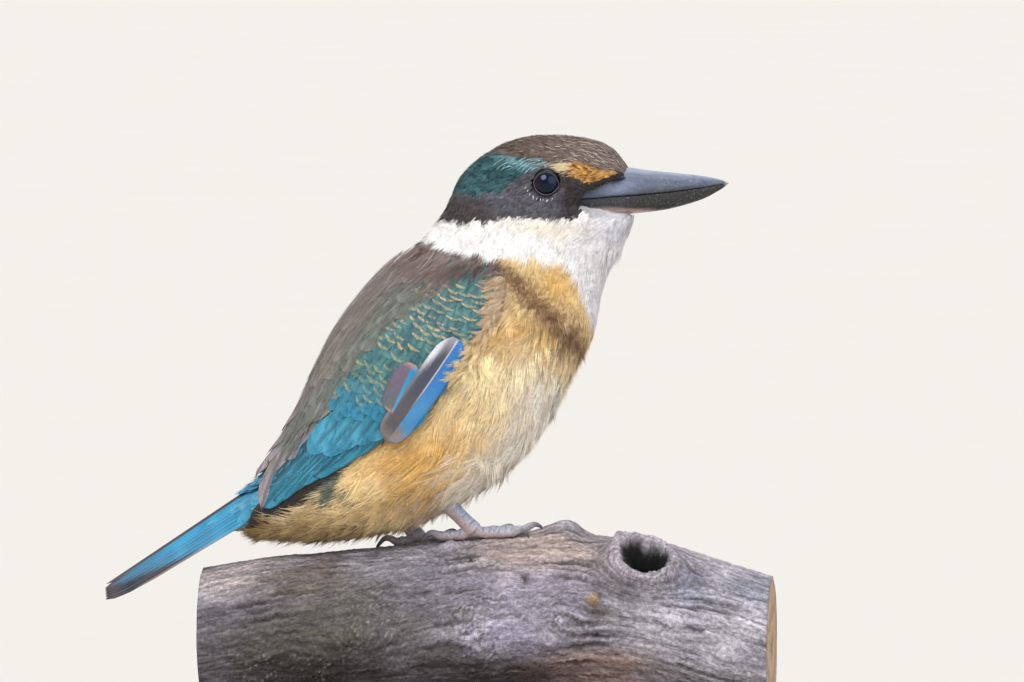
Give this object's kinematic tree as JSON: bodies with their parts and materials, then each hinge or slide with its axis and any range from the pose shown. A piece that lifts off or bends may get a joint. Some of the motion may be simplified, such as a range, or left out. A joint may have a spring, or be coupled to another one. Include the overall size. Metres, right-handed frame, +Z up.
{
  "type": "perched sacred kingfisher on driftwood display stand",
  "caption": "Still, life-size sacred kingfisher in young plumage, perched with wings folded on a cut length of driftwood held by a small rod stand.",
  "frame": {"origin": "centre of the flat underside of the stand's base", "axes": "+Z up; +X the way the bird faces, along the driftwood; +Y towards the bird's left side"},
  "size_m": [0.1875, 0.08, 0.1866],
  "materials": {
    "head_feathers": "dark brown crown with buff flecks, teal sides, black mask, white throat: short soft contour feathers, matt with a faint sheen",
    "collar_feathers": "white hindneck collar running into the throat, soft feathers",
    "breast_feathers": "golden buff breast and flanks mottled with brown, creamy white down the middle of the belly",
    "rump_feathers": "buff vent and undertail coverts, blue rump and uppertail coverts",
    "wing_feathers": "grey-green scapulars, teal coverts with buff crescents, bright blue secondaries, slight iridescent sheen",
    "flight_feathers": "blackish brown primaries",
    "tail_feathers": "bright blue above with dark edges, dusky below",
    "bill_horn": "blue-grey horn, satin, with fine pale specks",
    "bill_horn_lower": "greenish black horn with a flesh-pink base, satin",
    "eye": "very dark brown iris and black pupil under a clear wet cornea",
    "leg_skin": "grey-mauve scaled skin, dry",
    "claw_horn": "dark grey horn, satin",
    "driftwood": "weathered grey-brown driftwood, bare flowing grain, matt, sawn ends",
    "stand_wood": "dark oiled hardwood, satin",
    "stand_brass": "brushed brass, lightly aged"
  },
  "bodies": {
    "root": {"head": "head_feathers", "neck": "collar_feathers", "trunk": "breast_feathers", "rump": "rump_feathers", "tail": "tail_feathers", "wing_right": "wing_feathers", "wing_left": "wing_feathers", "primaries_right": "flight_feathers", "primaries_left": "flight_feathers", "leg_right": "leg_skin", "leg_left": "leg_skin", "foot_right": "leg_skin", "foot_left": "leg_skin", "bill_upper": "bill_horn", "bill_lower": "bill_horn_lower", "eye_right": "eye", "eye_left": "eye", "perch": "driftwood", "stand_base": "stand_wood", "stand_rod_front": "stand_brass", "stand_rod_rear": "stand_brass", "claw_right_hind": "claw_horn", "claw_right_inner": "claw_horn", "claw_right_middle": "claw_horn", "claw_right_outer": "claw_horn", "claw_left_hind": "claw_horn", "claw_left_inner": "claw_horn", "claw_left_middle": "claw_horn", "claw_left_outer": "claw_horn"}
  },
  "joints": []
}
